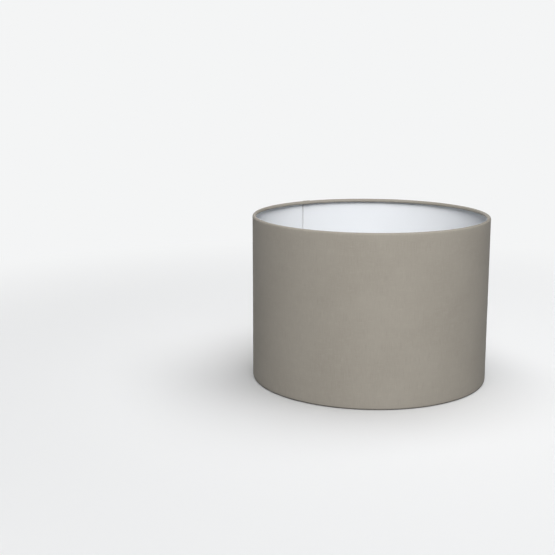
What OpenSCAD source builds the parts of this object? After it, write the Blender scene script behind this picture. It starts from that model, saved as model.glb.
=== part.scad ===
// Drum lamp shade: a fabric and PVC laminate rolled into a drum, hemmed round two
// wire rings. The bottom ring carries three arms and a fitter ring for a lampholder,
// and a lift-out reducer ring makes the fitter smaller.
// Millimetres. The origin is the centre of the base, and +Z is the drum's axis.

/* [Drum] */
// Outside diameter of the fabric
shade_d = 300; // [200:10:500]
// Height over both rolled hems
shade_h = 210; // [120:5:350]

/* [Laminate] */
// Thickness of the outer fabric
fabric_t = 0.4; // [0.3:0.05:0.6]
// Thickness of the PVC liner
liner_t = 0.3; // [0.2:0.05:0.5]

/* [Seam] */
// Where the laminate's inner end shows, anticlockwise from +X
seam_angle = 123.5; // [0:0.5:359.5]
// Width of the overlap at the seam
seam_overlap = 9; // [7:1:20]
// Thickness of the double-sided tape in the overlap
seam_tape_t = 0.15; // [0.1:0.05:0.3]

/* [Wire rings] */
// Diameter of the wire of both rings
ring_wire_d = 3.2; // [2.8:0.1:5]
// Thickness of the adhesive tape on the rings
ring_tape_t = 0.25; // [0.2:0.05:0.4]
// How far the hem turns round each ring, from the outside, in degrees
hem_turn = 300; // [240:5:300]

/* [Arms] */
// Diameter of the wire of the arms
arm_wire_d = 3.2; // [2.8:0.1:4]
// Height of the arms' inner ends above their outer ends
arm_rise = 15; // [10:1:40]
// Steepness of the rising stretch, in degrees
arm_slope = 50; // [35:5:65]
// Radius of the bends at the wire's centre
arm_bend_r = 6; // [4:0.5:8]
// Straight stretch of an arm beside the bottom ring
arm_lead = 8; // [7:0.5:15]

/* [Fitter ring] */
// Bore of the fitter ring
fitter_bore_d = 42; // [38:0.5:60]
// Width of the fitter ring's flat band
fitter_band = 7; // [6:0.5:10]
// Thickness of the fitter ring
fitter_t = 1.6; // [1.2:0.1:2.5]

/* [Reducer ring] */
// Bore of the reducer ring, which fits round the lampholder's neck
reducer_bore_d = 29; // [27:0.5:34]
// How far the reducer's flange laps over the fitter ring
reducer_lap = 4; // [2.5:0.5:5]
// Thickness of the reducer's flange
reducer_flange_t = 1.5; // [1.2:0.1:2.5]
// Thickness of the reducer's collar and of its spigot
reducer_wall = 1.8; // [1.4:0.1:2.4]
// Height of the collar round the reducer's bore
reducer_collar_h = 4; // [3:0.5:6]
// How far the spigot reaches below the fitter ring
spigot_reach = 1; // [0.6:0.2:2]

/* [Hidden] */
$fn = 96;
ARM_TURNS = [0, 120, 240]; // anticlockwise from the front, -Y

// Clearances and small details
past = 1;             // how far a cutting shape runs past what it cuts
seam_gap = 0.4;       // between the two ends of the liner, at the seam
ring_seat_gap = 0.25; // between the liner's edges and the taped rings
flap_gap = 1;         // between the seam's flap and the hems
tape_inset = 1;       // between the under end's edge and the seam tape
tape_joint = 1;       // between the two ends of a ring's tape
weld_swell = 0.25;    // how much wider a weld bead is than its arm
slit_gap = 0.5;       // between a weld bead and the slit in the hem
weld_sink = 0.4;      // how deep an arm is pressed into the fitter ring's underside
arm_end_gap = 3;      // between an arm's inner end and the fitter's bore
bend_swell = 0.03;    // how much the wire swells where a bend meets a straight stretch
bend_step = 0.2;      // length of wire within each such swelling
spigot_gap = 0.2;     // radial running clearance of the reducer in the fitter ring
edge_break = 0.3;     // chamfer on the edges of the fitter ring and the reducer
rib_count = 6;
rib_w = 1.4;
rib_drop = 1.5;       // how far a rib stands below the reducer's flange

// Radii, from the outside in
cover_r = shade_d / 2;
fabric_in_r = cover_r - fabric_t;
liner_in_r = fabric_in_r - liner_t;
wire_r = ring_wire_d / 2;
taped_r = wire_r + ring_tape_t;
hem_r = taped_r + fabric_t;
ring_r = cover_r - hem_r;   // the rings' centre circle
arm_r = arm_wire_d / 2;
bead_r = arm_r + weld_swell;

// Heights
bottom_ring_z = hem_r;
top_ring_z = shade_h - hem_r;
// How far the taped ring hangs over the liner's edge
ring_over_liner = sqrt(max(0, pow(taped_r, 2) - pow(max(0, liner_in_r - ring_r), 2)));
liner_end = ring_over_liner + ring_seat_gap;
flap_end = hem_r + flap_gap;
flap_z = [bottom_ring_z + flap_end, top_ring_z - flap_end];
arm_z = bottom_ring_z + arm_rise;
fitter_z = arm_z + arm_r - weld_sink;
flange_z = fitter_z + fitter_t;

// Radii of the seam's layers, each on top of the one before
return_r = cover_r + seam_tape_t;
over_liner_r = return_r + fabric_t;
over_fabric_r = over_liner_r + liner_t;
flap_r = over_fabric_r + fabric_t;

// Radii of the fitter and the reducer
fitter_bore_r = fitter_bore_d / 2;
fitter_r = fitter_bore_r + fitter_band;
reducer_bore_r = reducer_bore_d / 2;
collar_r = reducer_bore_r + reducer_wall;
spigot_r = fitter_bore_r - spigot_gap;
flange_r = fitter_bore_r + reducer_lap;

// An arc's angle on the cover, from its length
function arc(length) = length / cover_r * 180 / PI;
// Angles from the seam, towards the flap's end
liner_step_angle = -arc(seam_gap + liner_t); // where the liner turns outwards
flap_end_angle = arc(seam_overlap);

// Part of a ring in the drawing plane, from one angle to another
module arc_band(r_in, r_out, from, to) {
    steps = 12;
    reach = 2 * r_out;
    intersection() {
        difference() {
            circle(r_out);
            circle(r_in);
        }
        polygon(concat([[0, 0]], [
            for (i = [0:steps])
                let (a = from + (to - from) * i / steps)
                    [reach * cos(a), reach * sin(a)]
        ]));
    }
}

// The turned edge round a ring's section: up over the top ring, or down under the bottom one
module hem_band(r_in, r_out, top) {
    translate([ring_r, top ? top_ring_z : bottom_ring_z])
        arc_band(r_in, r_out, top ? 0 : -hem_turn, top ? hem_turn : 0);
}

// A curved wall about the drum's axis
module arc_wall(r_in, r_out, z, from, to) {
    rotate([0, 0, from])
        rotate_extrude(angle = to - from)
            translate([r_in, z[0]])
                square([r_out - r_in, z[1] - z[0]]);
}

// Turns what is drawn with its seam on +X to the seam's place, with the flap lapping clockwise
module at_seam() {
    rotate([0, 0, seam_angle])
        mirror([0, 1, 0])
            children();
}

// The slits that let the arms through the bottom hem, clear of the weld beads on all sides
module arm_slits() {
    clear_r = bead_r + slit_gap;
    slit_w = 2 * clear_r;
    // Where the inside of the tape is that far from a bead's centre, which lies on the ring's inside
    slit_r = ring_r + (pow(clear_r, 2) - 2 * pow(wire_r, 2)) / (2 * wire_r);
    for (turn = ARM_TURNS)
        rotate([0, 0, turn])
            translate([-slit_w / 2, -slit_r, -past])
                cube([slit_w, 2 * hem_r, bottom_ring_z + hem_r + 2 * past]);
}

module ring_wire(z) {
    rotate_extrude()
        translate([ring_r, z])
            circle(wire_r);
}

// A ring's tape, whose two ends meet opposite the seam
module ring_tape(top) {
    rotate([0, 0, seam_angle + 180])
        rotate_extrude(angle = 360 - arc(tape_joint))
            hem_band(wire_r, taped_r, top);
}

module fabric_cover() {
    step_start = liner_step_angle - arc(fabric_t);
    flap_reach = flap_end_angle + arc(fabric_t);
    cut_z = [flap_z[0] - past, flap_z[1] + past];
    fold_gap_r = (over_liner_r + over_fabric_r) / 2;
    color("#9a9187")
    difference() {
        at_seam() {
            // The wall with both hems, once round
            rotate_extrude(angle = 360 + (liner_step_angle + step_start) / 2)
                union() {
                    translate([fabric_in_r, bottom_ring_z])
                        square([fabric_t, top_ring_z - bottom_ring_z]);
                    hem_band(taped_r, hem_r, true);
                    hem_band(taped_r, hem_r, false);
                }
            // The flap: it steps out over the under end, and its edge is folded back beneath it
            difference() {
                arc_wall(fabric_in_r, flap_r, flap_z, step_start, flap_reach);
                arc_wall(fabric_in_r - past, return_r, cut_z, liner_step_angle, flap_reach + past);
                arc_wall(fabric_in_r - past, fold_gap_r, cut_z, liner_step_angle, arc(tape_inset));
                arc_wall(over_liner_r, over_fabric_r, cut_z, liner_step_angle, flap_end_angle);
            }
        }
        arm_slits();
    }
}

module liner() {
    z = [bottom_ring_z + liner_end, top_ring_z - liner_end];
    cut_z = [flap_z[0] - past, flap_z[1] + past];
    step_end = liner_step_angle + arc(liner_t);
    color("#f2f3f5")
    at_seam() {
        arc_wall(liner_in_r, fabric_in_r, z, 0, 360 + (liner_step_angle + step_end) / 2);
        difference() {
            arc_wall(liner_in_r, over_fabric_r, flap_z, liner_step_angle, flap_end_angle);
            arc_wall(liner_in_r - past, over_liner_r, cut_z, step_end, flap_end_angle + past);
        }
    }
}

module seam_tape() {
    color("#e8e4d8")
    at_seam()
        arc_wall(cover_r, return_r, flap_z, arc(tape_inset), flap_end_angle);
}

module top_ring() {
    color("#f4f4f2")
    ring_wire(top_ring_z);
}

module bottom_ring() {
    color("#f4f4f2")
    ring_wire(bottom_ring_z);
}

module top_ring_tape() {
    color("#e8e4d8")
    ring_tape(true);
}

module bottom_ring_tape() {
    color("#e8e4d8")
    difference() {
        ring_tape(false);
        arm_slits();
    }
}

// A wire's straight stretch along +X, then what follows it
module wire_run(length) {
    translate([bend_step, 0, 0])
        rotate([0, 90, 0])
            cylinder(r = arm_r, h = length - bend_step);
    translate([length, 0, 0]) {
        sphere(r = arm_r + bend_swell);
        translate([bend_step, 0, 0])
            children();
    }
}

// A wire's bend from +X up towards +Z, then what follows it
module wire_bend(angle) {
    translate([0, 0, arm_bend_r])
        rotate([0, 90, 0])
            rotate([90, 0, 0])
                rotate_extrude(angle = angle)
                    translate([arm_bend_r, 0])
                        circle(arm_r);
    translate([arm_bend_r * sin(angle), 0, arm_bend_r * (1 - cos(angle))])
        rotate([0, -angle, 0]) {
            sphere(r = arm_r + bend_swell);
            children();
        }
}

// One arm, from the bottom ring in to the fitter ring, coped to both
module arm(index) {
    bends_rise = 2 * arm_bend_r * (1 - cos(arm_slope)) + bend_step * sin(arm_slope);
    slope_run = (arm_rise - bends_rise) / sin(arm_slope);
    bends_reach = 2 * arm_bend_r * sin(arm_slope) + bend_step * (1 + cos(arm_slope));
    slope_reach = bends_reach + slope_run * cos(arm_slope);
    inner_run = ring_r - arm_lead - slope_reach - fitter_bore_r - arm_end_gap;
    color("#f4f4f2")
    rotate([0, 0, ARM_TURNS[index]])
        difference() {
            translate([0, -ring_r, bottom_ring_z])
                rotate([0, 0, 90]) {
                    translate([wire_r, 0, 0]) {
                        sphere(r = bead_r);
                        wire_run(arm_lead - wire_r)
                            wire_bend(arm_slope)
                                wire_run(slope_run)
                                    mirror([0, 0, 1])
                                        wire_bend(arm_slope)
                                            mirror([0, 0, 1])
                                                wire_run(inner_run);
                    }
                    translate([ring_r - fitter_r, 0, arm_rise])
                        sphere(r = bead_r);
                }
            ring_wire(bottom_ring_z);
            translate([0, 0, fitter_z])
                cylinder(r = fitter_r, h = fitter_t + bead_r);
        }
}

module fitter_ring() {
    color("#f4f4f2")
    translate([0, 0, fitter_z])
        difference() {
            rotate_extrude()
                polygon([
                    [fitter_bore_r - past, 0],
                    [fitter_r - edge_break, 0],
                    [fitter_r, edge_break],
                    [fitter_r, fitter_t - edge_break],
                    [fitter_r - edge_break, fitter_t],
                    [fitter_bore_r - past, fitter_t]
                ]);
            translate([0, 0, -past])
                cylinder(r = fitter_bore_r, h = fitter_t + 2 * past);
        }
}

// Flange on the fitter ring, spigot in its bore, collar round the reducer's bore, and ribs
module reducer_ring() {
    top_z = flange_z + reducer_flange_t;
    collar_z = top_z - reducer_collar_h;
    spigot_z = fitter_z - spigot_reach;
    spigot_in_r = spigot_r - reducer_wall;
    color("#f7f7f5")
    difference() {
        union() {
            rotate_extrude()
                polygon([
                    [reducer_bore_r - past, top_z],
                    [flange_r - edge_break, top_z],
                    [flange_r, top_z - edge_break],
                    [flange_r, flange_z + edge_break],
                    [flange_r - edge_break, flange_z],
                    [spigot_r, flange_z],
                    [spigot_r, spigot_z + edge_break],
                    [spigot_r - edge_break, spigot_z],
                    [spigot_in_r + edge_break, spigot_z],
                    [spigot_in_r, spigot_z + edge_break],
                    [spigot_in_r, flange_z],
                    [collar_r, flange_z],
                    [collar_r, collar_z + edge_break],
                    [collar_r - edge_break, collar_z],
                    [reducer_bore_r - past, collar_z]
                ]);
            for (i = [0:rib_count - 1])
                rotate([0, 0, i * 360 / rib_count])
                    translate([reducer_bore_r + reducer_wall / 2, -rib_w / 2, flange_z - rib_drop])
                        cube([spigot_r - reducer_wall - reducer_bore_r, rib_w, rib_drop + reducer_flange_t / 2]);
        }
        translate([0, 0, collar_z - past])
            cylinder(r = reducer_bore_r, h = reducer_collar_h + 2 * past);
    }
}

fabric_cover();
liner();
seam_tape();
top_ring();
top_ring_tape();
bottom_ring();
bottom_ring_tape();
arm(0);  // arm_1
arm(1);  // arm_2
arm(2);  // arm_3
fitter_ring();
reducer_ring();
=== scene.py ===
import math
from collections import namedtuple

import bpy
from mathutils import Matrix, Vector, noise


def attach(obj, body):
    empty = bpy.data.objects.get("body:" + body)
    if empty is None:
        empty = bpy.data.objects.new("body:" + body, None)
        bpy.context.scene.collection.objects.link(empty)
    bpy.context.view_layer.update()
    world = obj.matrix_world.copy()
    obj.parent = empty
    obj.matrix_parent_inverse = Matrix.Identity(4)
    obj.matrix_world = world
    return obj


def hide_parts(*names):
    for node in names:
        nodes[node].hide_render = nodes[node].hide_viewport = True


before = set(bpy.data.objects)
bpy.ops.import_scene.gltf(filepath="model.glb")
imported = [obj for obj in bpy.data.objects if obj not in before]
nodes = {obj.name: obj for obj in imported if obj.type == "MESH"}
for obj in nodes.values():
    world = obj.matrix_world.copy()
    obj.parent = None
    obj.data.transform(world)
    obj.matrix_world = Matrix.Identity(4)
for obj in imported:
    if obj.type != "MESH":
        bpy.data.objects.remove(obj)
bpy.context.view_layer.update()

MM = 0.001
FULL_TURN = 2 * math.pi


# ---------------------------------------------------------------- sizes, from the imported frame

def polar(name):
    """(radius, angle, height) of every vertex of a CAD node."""
    points = [v.co for v in nodes[name].data.vertices]
    return [(math.hypot(p.x, p.y), math.atan2(p.y, p.x), p.z) for p in points]


def wire(name):
    """A wire ring's wire radius, its centre line's radius and its height."""
    radii, _, heights = zip(*polar(name))
    r = (max(heights) - min(heights)) / 2
    return r, max(radii) - r, (max(heights) + min(heights)) / 2


FABRIC_T = 0.4 * MM
LINER_T = 0.3 * MM
SHEET_SHARE = 0.96        # of a sheet's thickness, so that faces that touch don't coincide
TAPE_INSET = 1.0 * MM     # from the sheet's under end to the seam's tape
SEAM_GAP = 0.4 * MM       # between the two ends, inside the drum
CLIMB = 1.7 * MM          # over which the laminate steps out at the seam
wire_r, ring_r, bottom_z = wire("bottom_ring")
top_z = wire("top_ring")[2]
hem_mid = bottom_z - FABRIC_T / 2          # the cloth's middle, from a ring's centre
wall_mid = ring_r + hem_mid
cover_r = wall_mid + FABRIC_T / 2
liner_zs = [z for r, _, z in polar("liner") if r < cover_r - FABRIC_T + LINER_T / 3]
tape_angles = [a for _, a, _ in polar("seam_tape")]
seam = max(tape_angles) + TAPE_INSET / cover_r
lap = seam - min(tape_angles)              # the overlap, as an angle


def smooth(x):
    x = min(max(x, 0.0), 1.0)
    return x * x * (3 - 2 * x)


def mix(a, b, t):
    return a + (b - a) * t


# ---------------------------------------------------------------- meshes

def grid(name, columns, rows, place, keep=None):
    """A sheet of len(columns) by len(rows) points.

    place(column, row) gives a point and its place on the flat sheet. keep, given two neighbouring
    columns and rows, says whether the sheet has the facet between them.
    """
    placed = [place(c, r) for c in columns for r in rows]
    n = len(rows)
    faces = [
        (i * n + j, i * n + n + j, i * n + n + j + 1, i * n + j + 1)
        for i in range(len(columns) - 1)
        for j in range(n - 1)
        if keep is None or keep(columns[i], columns[i + 1], rows[j], rows[j + 1])
    ]
    mesh = bpy.data.meshes.new(name)
    mesh.from_pydata([point for point, _ in placed], [], faces)
    layer = mesh.uv_layers.new(name="cloth")
    for loop in mesh.loops:
        layer.data[loop.index].uv = placed[loop.vertex_index][1]
    for p in mesh.polygons:
        p.use_smooth = True
    obj = bpy.data.objects.new(name, mesh)
    bpy.context.scene.collection.objects.link(obj)
    return obj


def thicken(obj, thickness):
    """Gives a sheet its thickness, half on each side, and keeps its cut edges crisp."""
    m = obj.modifiers.new("thickness", "SOLIDIFY")
    m.thickness = thickness * SHEET_SHARE
    m.offset = 0
    bpy.context.view_layer.update()
    solid = obj.evaluated_get(bpy.context.evaluated_depsgraph_get())
    done = bpy.data.meshes.new_from_object(solid)
    obj.modifiers.clear()
    obj.data = done
    done.set_sharp_from_angle(angle=math.radians(55))


# A column of the sheet: its turn from the seam, its part of the way round, and how much of the
# climb and of the fold is behind it
Column = namedtuple("Column", "turn part climbed folded")
# A row of the cover: its part, and how far round the ring or what share up the wall it is
Row = namedtuple("Row", "part at")

SLIT_W = 5 * MM                            # an arm's slit in the bottom hem
ARM_ANGLES = [math.radians(d) for d in (270, 30, 150)]    # front, back right and back left
slit_half = SLIT_W / 2 / (ring_r - wire_r)                # as an angle
slit_turns = sorted((seam - a) % FULL_TURN for a in ARM_ANGLES)

ROUND_STEPS = 600
CLIMB_STEPS = 10
LAP_STEPS = 8


def sheet_path(fold):
    """The sheet's columns, once round the drum from its under end.

    The last part climbs over the under end, laps it and, with fold, turns back beneath itself.
    """
    climb_turn = FULL_TURN - (CLIMB + SEAM_GAP) / cover_r
    over_turn = FULL_TURN - SEAM_GAP / cover_r
    edge_turn = FULL_TURN + lap
    return_turn = FULL_TURN + TAPE_INSET / cover_r
    turns = [climb_turn * i / ROUND_STEPS for i in range(ROUND_STEPS + 1)]
    for slit in slit_turns:
        for side in (slit - slit_half, slit, slit + slit_half):
            nearest = min(range(len(turns)), key=lambda i: abs(turns[i] - side))
            turns[nearest] = side
    path = [Column(turn, "wall", 0.0, 0.0) for turn in turns]
    for i in range(1, CLIMB_STEPS + 1):
        turn = climb_turn + CLIMB / cover_r * i / CLIMB_STEPS
        path.append(Column(turn, "climb", smooth(i / CLIMB_STEPS), 0.0))
    for i in range(1, LAP_STEPS + 1):
        path.append(Column(mix(over_turn, edge_turn, i / LAP_STEPS), "over", 1.0, 0.0))
    if fold:
        for i in range(1, LAP_STEPS):
            path.append(Column(edge_turn, "fold", 1.0, i / LAP_STEPS))
        for i in range(LAP_STEPS + 1):
            path.append(Column(mix(edge_turn, return_turn, i / LAP_STEPS), "return", 1.0, 1.0))
    return path


# Irregularities of a sheet, as (size, amount, seed)
BROAD_WAVES = [(60 * MM, 0.10 * MM, 3.1)]
WALL_WAVES = BROAD_WAVES + [(13 * MM, 0.035 * MM, 8.7)]
HEM_WAVES = [(11 * MM, 0.05 * MM, 5.3)]
GATHERS = [(3.5 * MM, 0.17 * MM, 1.9), (12 * MM, 0.18 * MM, 6.1)]
# How far up and down the hems read their waves, so that the two differ
HEMS_APART = 0.1


def waves(kinds, angle, z):
    """Smooth irregularity over the drum, with no step where it closes."""
    place = Vector((math.cos(angle) * wall_mid, math.sin(angle) * wall_mid, z))
    return sum(
        amount * noise.noise(place / size + Vector((seed, seed * 0.7, -seed)))
        for size, amount, seed in kinds
    )


# ---------------------------------------------------------------- the fabric cover

HEM_TURN = math.radians(300)
HEM_STEPS = 20
HEM_LEN = HEM_TURN * hem_mid
WALL_STEPS = 38
TRIM_STEPS = 2.5                           # of the wall, from which the folded edge is trimmed away
SLIT_FROM = math.radians(95)               # round the bottom ring, where the slits start
FOLD_LEN = 1.1 * MM                        # of cloth, round the folded edge
GATHERS_FROM = 1.9                         # radians round a ring, where the gathers start
GATHERS_RISE = 1.6                         # radians over which they grow
# How far outside the wall's surface the cloth lies where it laps, and where it is folded back
WALL_LIFT = {"over": 1.25 * MM, "return": 0.55 * MM}
HEM_LIFT = {"over": 0.43 * MM, "return": 0.43 * MM}
HEM_LIFT_TO = 1.5 * MM                     # from a ring's height, where the hem's lift ends
WALL_LIFT_RISE = 4 * MM                    # over which the wall's takes over

hem_ats = [HEM_LEN * i / HEM_STEPS for i in range(HEM_STEPS + 1)]
cover_rows = (
    [Row("bottom", at) for at in reversed(hem_ats)]
    + [Row("wall", i / WALL_STEPS) for i in range(1, WALL_STEPS)]
    + [Row("top", at) for at in hem_ats]
)


def lift_at(column, hem_share):
    """How far out from the wall's surface the cloth lies at the seam, and how far past its fold."""
    over = mix(WALL_LIFT["over"], HEM_LIFT["over"], hem_share)
    back = mix(WALL_LIFT["return"], HEM_LIFT["return"], hem_share)
    if column.part == "fold":
        bend = math.pi * column.folded
        return mix(over, back, (1 - math.cos(bend)) / 2), (over - back) / 2 * math.sin(bend)
    return (back if column.part == "return" else over * column.climbed), 0.0


def cloth_length(column):
    """How far along the flat cloth a column is."""
    if column.part not in ("fold", "return"):
        return column.turn * cover_r
    length = (FULL_TURN + lap) * cover_r + FOLD_LEN * column.folded
    if column.part == "return":
        length += (FULL_TURN + lap - column.turn) * cover_r
    return length


def cloth(column, row):
    angle = seam - column.turn
    if row.part == "wall":
        z = mix(bottom_z, top_z, row.at)
        from_ring = min(z - bottom_z, top_z - z)
        lift, past = lift_at(column, 1 - smooth((from_ring - HEM_LIFT_TO) / WALL_LIFT_RISE))
        r = wall_mid + lift + waves(WALL_WAVES, angle, z)
        height = z - bottom_z
    else:
        sign, ring_z = (1, top_z) if row.part == "top" else (-1, bottom_z)
        lift, past = lift_at(column, 1.0)
        gathered = smooth((row.at / hem_mid - GATHERS_FROM) / GATHERS_RISE)
        rho = hem_mid + lift + waves(HEM_WAVES, angle, sign * HEMS_APART + row.at)
        rho += gathered * waves(GATHERS, angle, sign)
        phi = row.at / (hem_mid + lift)
        r = ring_r + rho * math.cos(phi)
        z = ring_z + sign * rho * math.sin(phi)
        height = ring_z - bottom_z + sign * row.at
    if row.part != "top":
        z = max(z, FABRIC_T / 2)
    angle -= past / cover_r
    return (r * math.cos(angle), r * math.sin(angle), z), (cloth_length(column), height)


def in_cloth(c0, c1, r0, r1):
    """Whether the cloth has this facet.

    The folded edge is trimmed short of the hems, and the bottom hem is slit at the arms.
    """
    if c1.part in ("fold", "return"):
        return all(
            row.part == "wall" and TRIM_STEPS < row.at * WALL_STEPS < WALL_STEPS - TRIM_STEPS
            for row in (r0, r1)
        )
    if r0.part != "bottom" or r1.part != "bottom" or c1.part != "wall":
        return True
    middle = (c0.turn + c1.turn) / 2
    at_slit = any(abs(middle - slit) < slit_half for slit in slit_turns)
    return not at_slit or (r0.at + r1.at) / 2 < SLIT_FROM * hem_mid


cover = grid("fabric_shell", sheet_path(fold=True), cover_rows, cloth, in_cloth)
thicken(cover, FABRIC_T)


# ---------------------------------------------------------------- the liner

LINER_STEPS = 40
LINER_LIFT = 1.25 * MM                     # where it laps at the seam
LINER_WAVES = 0.8                          # of the cloth's broad waves, which it is glued to
LAP_SHORT = 3.4 * MM                       # by which the lapping part stops short of the rings
liner_mid = cover_r - FABRIC_T - LINER_T / 2


def lining(column, share):
    angle = seam - column.turn
    z = mix(min(liner_zs), max(liner_zs), share)
    r = liner_mid + LINER_LIFT * column.climbed + LINER_WAVES * waves(BROAD_WAVES, angle, z)
    if column.climbed > 0.5:
        z = min(max(z, bottom_z + LAP_SHORT), top_z - LAP_SHORT)
    return (r * math.cos(angle), r * math.sin(angle), z), (column.turn * cover_r, z)


liner_shares = [i / LINER_STEPS for i in range(LINER_STEPS + 1)]
liner = grid("liner_sheet", sheet_path(fold=False), liner_shares, lining)
thicken(liner, LINER_T)


# ---------------------------------------------------------------- materials

class Nodes:
    """Short names for making shader nodes."""

    def __init__(self, name):
        self.material = bpy.data.materials.new(name)
        self.material.use_nodes = True
        self.tree = self.material.node_tree
        self.tree.nodes.clear()
        self.out = self.tree.nodes.new("ShaderNodeOutputMaterial")
        self.shader = self.tree.nodes.new("ShaderNodeBsdfPrincipled")
        self.tree.links.new(self.shader.outputs[0], self.out.inputs["Surface"])

    def put(self, socket, value):
        """Links a socket to another's output, or gives it a number, a vector or an RGB colour."""
        if not isinstance(value, (int, float, tuple)):
            self.tree.links.new(value, socket)
        elif isinstance(value, tuple) and socket.type == "RGBA":
            socket.default_value = (*value, 1)
        else:
            socket.default_value = value

    def set(self, **values):
        for key, value in values.items():
            self.put(self.shader.inputs[key.replace("_", " ")], value)

    def node(self, kind, inputs=(), output=0, **settings):
        n = self.tree.nodes.new(kind)
        for key, value in settings.items():
            setattr(n, key, value)
        for key, value in dict(inputs).items():
            self.put(n.inputs[key], value)
        return n.outputs[output]

    def math(self, operation, a, b=0.0, c=0.0):
        return self.node("ShaderNodeMath", {0: a, 1: b, 2: c}, operation=operation)

    def coords(self, which, scale=(1.0, 1.0, 1.0)):
        base = self.node("ShaderNodeTexCoord", output=which)
        return self.node("ShaderNodeVectorMath", {0: base, 1: scale}, operation="MULTIPLY")

    def noise(self, vector, scale=1.0, detail=2.0, rough=0.5):
        inputs = {"Vector": vector, "Scale": scale, "Detail": detail, "Roughness": rough}
        return self.node("ShaderNodeTexNoise", inputs)

    def remap(self, value, a, b, c=0.0, d=1.0):
        inputs = {0: value, 1: a, 2: b, 3: c, 4: d}
        return self.node("ShaderNodeMapRange", inputs, clamp=True, interpolation_type="SMOOTHSTEP")

    def blend(self, factor, a, b):
        return self.node("ShaderNodeMix", {0: factor, 6: a, 7: b}, output=2, data_type="RGBA")

    def bump(self, height, distance, strength):
        return self.node("ShaderNodeBump", {"Strength": strength, "Distance": distance, "Height": height})


def fabric_material():
    """A fine plain weave with slubs.

    The UV is the flat cloth in metres, so the yarns run true round the drum and into the hems.
    """
    m = Nodes("taupe_weave")
    yarn_pitch = 0.42 * MM
    split = m.tree.nodes.new("ShaderNodeSeparateXYZ")
    m.tree.links.new(m.coords("UV"), split.inputs[0])
    u = m.math("DIVIDE", split.outputs[0], yarn_pitch)
    v = m.math("DIVIDE", split.outputs[1], yarn_pitch)
    # each yarn: a rounded ridge across, rising and falling as it passes over and under
    ridge_u = m.math("ABSOLUTE", m.math("SINE", m.math("MULTIPLY", u, math.pi)))
    ridge_v = m.math("ABSOLUTE", m.math("SINE", m.math("MULTIPLY", v, math.pi)))
    cell = m.math("ADD", m.math("FLOOR", u), m.math("FLOOR", v))
    odd = m.math("ROUND", m.math("MULTIPLY", m.math("FRACT", m.math("MULTIPLY", cell, 0.5)), 2.0))
    warp = m.math("MULTIPLY", ridge_u, m.math("MULTIPLY_ADD", ridge_v, 0.45, 0.55))
    weft = m.math("MULTIPLY", ridge_v, m.math("MULTIPLY_ADD", ridge_u, 0.45, 0.55))
    even = m.math("SUBTRACT", 1.0, odd)
    weave = m.math("ADD", m.math("MULTIPLY", warp, odd), m.math("MULTIPLY", weft, even))
    # thicker stretches of yarn, up and across, and thinner ones
    slub_up = m.remap(m.noise(m.coords("UV", (2100.0, 95.0, 1.0))), 0.50, 0.80)
    slub_across = m.remap(m.noise(m.coords("UV", (85.0, 2300.0, 1.0))), 0.50, 0.80)
    slubs = m.math("ADD", slub_up, slub_across)
    thin = m.remap(m.noise(m.coords("UV", (1900.0, 60.0, 1.0)), detail=1.0), 0.25, 0.48, 1.0, 0.0)
    # cloudy unevenness of the dye, and the fuzz
    cloud = m.noise(m.coords("Object"), scale=14.0, detail=3.0, rough=0.55)
    fuzz = m.noise(m.coords("Object"), scale=620.0)
    base = m.blend(m.remap(cloud, 0.30, 0.70), (0.392, 0.362, 0.311), (0.422, 0.392, 0.339))
    base = m.blend(m.math("MULTIPLY", slubs, 0.48), base, (0.513, 0.480, 0.420))
    base = m.blend(m.math("MULTIPLY", thin, 0.28), base, (0.285, 0.261, 0.222))
    # painted shade between the yarns: where the weave is low, the colour is blended towards a dark brown
    between = m.math("SUBTRACT", 1.0, weave)
    base = m.blend(m.math("MULTIPLY", between, 0.30), base, (0.248, 0.222, 0.190))
    base = m.blend(m.math("MULTIPLY", fuzz, 0.10), base, (0.487, 0.452, 0.405))
    height = m.math("ADD", m.math("MULTIPLY", weave, 0.55), m.math("MULTIPLY", slubs, 0.35))
    height = m.math("ADD", height, m.math("MULTIPLY", fuzz, 0.12))
    m.set(Base_Color=base, Roughness=m.remap(weave, 0.0, 1.0, 0.97, 0.84))
    m.set(Normal=m.bump(height, 0.11 * MM, 0.55))
    m.set(Sheen_Weight=0.05, Sheen_Roughness=0.5, Specular_IOR_Level=0.20)
    return m.material


def liner_material():
    """A satin white sheet, with the weave behind it showing very faintly."""
    m = Nodes("liner_sheet")
    cloud = m.noise(m.coords("Object"), scale=11.0)
    wavy = m.noise(m.coords("Object", (30.0, 30.0, 9.0)))
    grain = m.noise(m.coords("Object"), scale=900.0)
    yarns = m.remap(m.noise(m.coords("UV", (1100.0, 45.0, 1.0)), detail=1.0), 0.55, 0.80)
    base = m.blend(m.remap(cloud, 0.3, 0.7), (0.820, 0.846, 0.878), (0.834, 0.858, 0.889))
    base = m.blend(m.math("MULTIPLY", yarns, 0.10), base, (0.783, 0.808, 0.84))
    height = m.math("ADD", wavy, m.math("MULTIPLY", grain, 0.06))
    m.set(Base_Color=base, Roughness=m.remap(cloud, 0.2, 0.8, 0.40, 0.50))
    m.set(Normal=m.bump(height, 0.4 * MM, 0.35), Specular_IOR_Level=0.4)
    return m.material


def coat_material(name, colour, peel):
    """Powder coat: orange peel, uneven tone and small dark specks."""
    m = Nodes(name)
    peel_height = m.noise(m.coords("Object"), scale=peel)
    speck = m.noise(m.coords("Object"), scale=1500.0)
    cloud = m.noise(m.coords("Object"), scale=32.0, detail=3.0)
    base = m.blend(m.remap(cloud, 0.35, 0.75), colour, tuple(c * 0.93 for c in colour))
    base = m.blend(m.remap(speck, 0.66, 0.80, 0.0, 0.25), base, tuple(c * 0.70 for c in colour))
    m.set(Base_Color=base, Roughness=m.remap(cloud, 0.2, 0.8, 0.30, 0.42))
    m.set(Normal=m.bump(peel_height, 0.2 * MM, 0.45))
    m.set(Specular_IOR_Level=0.5, Coat_Weight=0.15, Coat_Roughness=0.25)
    return m.material


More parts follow.
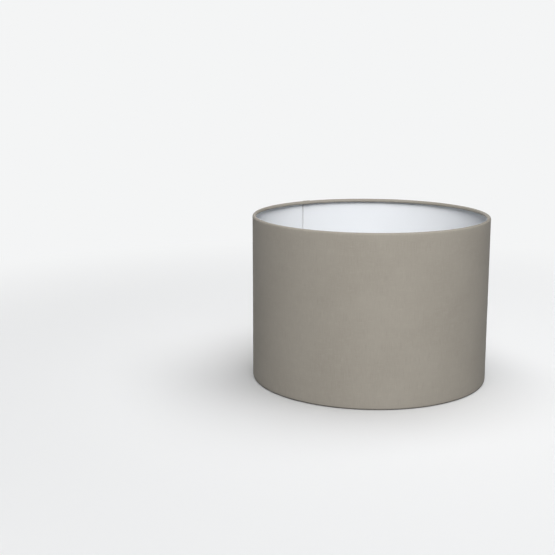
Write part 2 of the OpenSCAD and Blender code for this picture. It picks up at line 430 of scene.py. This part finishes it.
def plastic_material():
    """Moulded white plastic, with a fine texture and faint flow marks."""
    m = Nodes("moulded_plastic")
    texture = m.noise(m.coords("Object"), scale=1100.0, detail=3.0)
    flow = m.noise(m.coords("Object", (60.0, 60.0, 20.0)))
    base = m.blend(m.remap(flow, 0.35, 0.7), (0.86, 0.86, 0.84), (0.83, 0.83, 0.80))
    m.set(Base_Color=base, Roughness=m.remap(texture, 0.2, 0.8, 0.42, 0.55))
    m.set(Normal=m.bump(texture, 0.06 * MM, 0.5), Subsurface_Weight=0.08, Specular_IOR_Level=0.45)
    m.set(Subsurface_Radius=(2 * MM, 2 * MM, 2 * MM))
    return m.material


def tape_material(name, colour, darker_tone):
    m = Nodes(name)
    creases = m.noise(m.coords("Object", (140.0, 140.0, 30.0)), detail=3.0)
    # the colour is blended towards a darker tone wherever the noise that raises the creases is high
    base = m.blend(m.remap(creases, 0.35, 0.75), colour, darker_tone)
    m.set(Base_Color=base, Roughness=m.remap(creases, 0.2, 0.8, 0.35, 0.6))
    m.set(Normal=m.bump(creases, 0.2 * MM, 0.4))
    return m.material


def dress(material, *pieces):
    for piece in pieces:
        piece.data.materials.clear()
        piece.data.materials.append(material)


RING_NODES = [nodes[name] for name in ("top_ring", "bottom_ring")]
TAPE_NODES = [nodes[name] for name in ("top_ring_tape", "bottom_ring_tape")]
FRAME_NODES = [nodes[name] for name in ("arm_1", "arm_2", "arm_3", "fitter_ring")]

dress(fabric_material(), cover)
dress(liner_material(), liner)
dress(coat_material("white_powder_coat", (0.84, 0.84, 0.82), peel=260.0), *FRAME_NODES)
dress(coat_material("ring_powder_coat", (0.82, 0.82, 0.80), peel=300.0), *RING_NODES)
dress(plastic_material(), nodes["reducer_ring"])
dress(tape_material("ring_tape", (0.74, 0.71, 0.63), (0.66, 0.62, 0.54)), *TAPE_NODES)
dress(tape_material("seam_tape", (0.80, 0.79, 0.72), (0.72, 0.70, 0.62)), nodes["seam_tape"])

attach(cover, "shade")
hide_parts("fabric_cover")
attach(liner, "shade")
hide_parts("liner")


# ---------------------------------------------------------------- the floor

BACKGROUND = (0.905, 0.912, 0.915)
GLOW_FROM, GLOW_TO = 0.42, 1.05            # metres from the middle, where the paper's shading gives way
FLOOR_R = 2.4
FLOOR_SIDES = 128
BEND_R = 0.8
WALL_FROM, WALL_TO = 0.9, 1.5
PINPRICK = 0.01 * MM                       # the floor's hole in the middle, so that no facet has a zero side


def mix_shaders(tree, factor, a, b):
    n = tree.nodes.new("ShaderNodeMixShader")
    for socket, source in zip(n.inputs, (factor, a, b)):
        tree.links.new(source, socket)
    return n.outputs[0]


def stage_material():
    """White paper that takes the shade's shadow near it and is evenly lit further off.

    It can't be seen from below.
    """
    m = Nodes("studio_sweep")
    m.set(Base_Color=(0.88, 0.885, 0.89), Roughness=0.9, Specular_IOR_Level=0.1)
    place = m.node("ShaderNodeTexCoord", output="Object")
    distance = m.node("ShaderNodeVectorMath", {0: place}, output=1, operation="LENGTH")
    glow = m.node("ShaderNodeEmission", {"Color": BACKGROUND})
    top = mix_shaders(m.tree, m.remap(distance, GLOW_FROM, GLOW_TO), m.shader.outputs[0], glow)
    underneath = m.node("ShaderNodeNewGeometry", output="Backfacing")
    both = mix_shaders(m.tree, underneath, top, m.node("ShaderNodeBsdfTransparent"))
    m.tree.links.new(both, m.out.inputs["Surface"])
    return m.material


def sweep():
    """A floor that curves up all round into a low wall."""
    profile = [(PINPRICK, 0.0), (0.3, 0.0), (0.6, 0.0), (1.2, 0.0), (FLOOR_R, 0.0)]
    for bend in (math.radians(d) for d in range(9, 82, 9)):
        profile.append((FLOOR_R + BEND_R * math.sin(bend), BEND_R * (1 - math.cos(bend))))
    profile += [(FLOOR_R + BEND_R, z) for z in (WALL_FROM, WALL_TO)]
    angles = [FULL_TURN * i / FLOOR_SIDES for i in range(FLOOR_SIDES + 1)]

    def place(angle, point):
        r, z = point
        return (r * math.cos(angle), r * math.sin(angle), z), (angle, r)

    obj = grid("studio_floor", angles, profile, place)
    obj.data.flip_normals()
    dress(stage_material(), obj)
    # the paper is seen, and takes shadows, but throws no light back at the shade
    obj.visible_diffuse = False
    return obj


floor = sweep()


# ---------------------------------------------------------------- light

MIDDLE = (0.0, 0.0, 0.1)                   # of the shade
WARM = (1.0, 0.99, 0.98)


def area_light(name, place, size, power, colour=(1.0, 1.0, 1.0), target=MIDDLE):
    data = bpy.data.lights.new(name, "AREA")
    data.shape = "RECTANGLE"
    data.size, data.size_y = size
    data.energy = power
    data.color = colour
    obj = bpy.data.objects.new(name, data)
    obj.location = place
    obj.rotation_mode = "QUATERNION"
    obj.rotation_quaternion = (Vector(target) - Vector(place)).to_track_quat("-Z", "Y")
    bpy.context.scene.collection.objects.link(obj)
    return obj


def seen_at(azimuth, elevation, distance):
    """A point as seen from the shade's middle. Azimuth 0 is the front, and 90 is the right."""
    a, e = math.radians(azimuth), math.radians(elevation)
    return (
        MIDDLE[0] + distance * math.sin(a) * math.cos(e),
        MIDDLE[1] - distance * math.cos(a) * math.cos(e),
        MIDDLE[2] + distance * math.sin(e),
    )


def group(name, members):
    """A collection of objects, for a light to fall on or be blocked by."""
    collection = bpy.data.collections.new(name)
    bpy.context.scene.collection.children.link(collection)
    for member in members:
        collection.objects.link(member)
    return collection


shown_nodes = [n for n in nodes.values() if not n.hide_render]
spider_nodes = FRAME_NODES + [nodes["reducer_ring"]]
shell_nodes = [n for n in shown_nodes if n not in spider_nodes]

underlight = area_light("spider_underlight", (0.5, -1.1, -1.7), (1.2, 1.2), 22.0, target=(0, 0, 0))
lit_by = {
    group("shell", [cover, *shell_nodes]): [
        area_light("key_softbox", seen_at(5, 38, 2.9), (1.2, 2.3), 91.0, WARM),
        area_light("left_strip", seen_at(244, 7, 2.6), (0.7, 1.0), 15.0),
    ],
    group("inside", [liner]): [
        area_light("liner_softbox", seen_at(1, 55, 2.9), (1.2, 1.8), 123.0, WARM),
        area_light("liner_fill", seen_at(181, 50, 2.9), (1.2, 1.8), 16.0),
    ],
    group("outside", [cover]): [
        area_light("back_softbox", seen_at(186, 12, 2.9), (0.8, 1.2), 40.0),
    ],
    group("spider", spider_nodes): [
        area_light("spider_softbox", (0.0, -0.2, 2.4), (1.0, 1.0), 27.0, target=(0, 0, 0)),
        underlight,
    ],
    group("paper", [floor]): [
        area_light("paper_softbox", (0.35, 0.1, 2.5), (2.8, 2.8), 72.0, target=(0, 0, 0)),
        area_light("paper_fill", seen_at(4, 45, 4.0), (2.0, 2.0), 30.0, target=(0, 0, 0)),
    ],
}
for receivers, lights in lit_by.items():
    for light in lights:
        light.light_linking.receiver_collection = receivers
# the light from below passes through the floor
underlight.light_linking.blocker_collection = group("pieces", [cover, liner, *shown_nodes])


def studio_world():
    """Dim light from all round. Seen past the floor's edge, it is the same pale grey as the paper."""
    world = bpy.data.worlds.new("studio")
    world.use_nodes = True
    tree = world.node_tree
    dim = tree.nodes["Background"]
    dim.inputs["Color"].default_value = (0.93, 0.96, 1.0, 1)
    dim.inputs["Strength"].default_value = 0.075
    backdrop = tree.nodes.new("ShaderNodeBackground")
    backdrop.inputs["Color"].default_value = (*BACKGROUND, 1)
    seen = tree.nodes.new("ShaderNodeLightPath").outputs["Is Camera Ray"]
    either = mix_shaders(tree, seen, dim.outputs[0], backdrop.outputs[0])
    tree.links.new(either, tree.nodes["World Output"].inputs["Surface"])
    return world


bpy.context.scene.world = studio_world()


# ---------------------------------------------------------------- camera

CAMERA_PLACE = (-0.1183, -1.3380, 0.4065)  # in front and to the left, above the rim
CAMERA_TILT = math.radians(11.77)          # down from level

view = bpy.context.scene.view_settings
view.view_transform = "Standard"
view.look = "None"
view.exposure = 0.0
view.gamma = 1.0

camera_data = bpy.data.cameras.new("camera")
camera_data.lens = 69.0
camera_data.sensor_width = 36.0
camera_data.clip_end = 50
camera = bpy.data.objects.new("camera", camera_data)
camera.location = CAMERA_PLACE
camera.rotation_euler = (math.radians(90) - CAMERA_TILT, 0, 0)
bpy.context.scene.collection.objects.link(camera)
bpy.context.scene.camera = camera
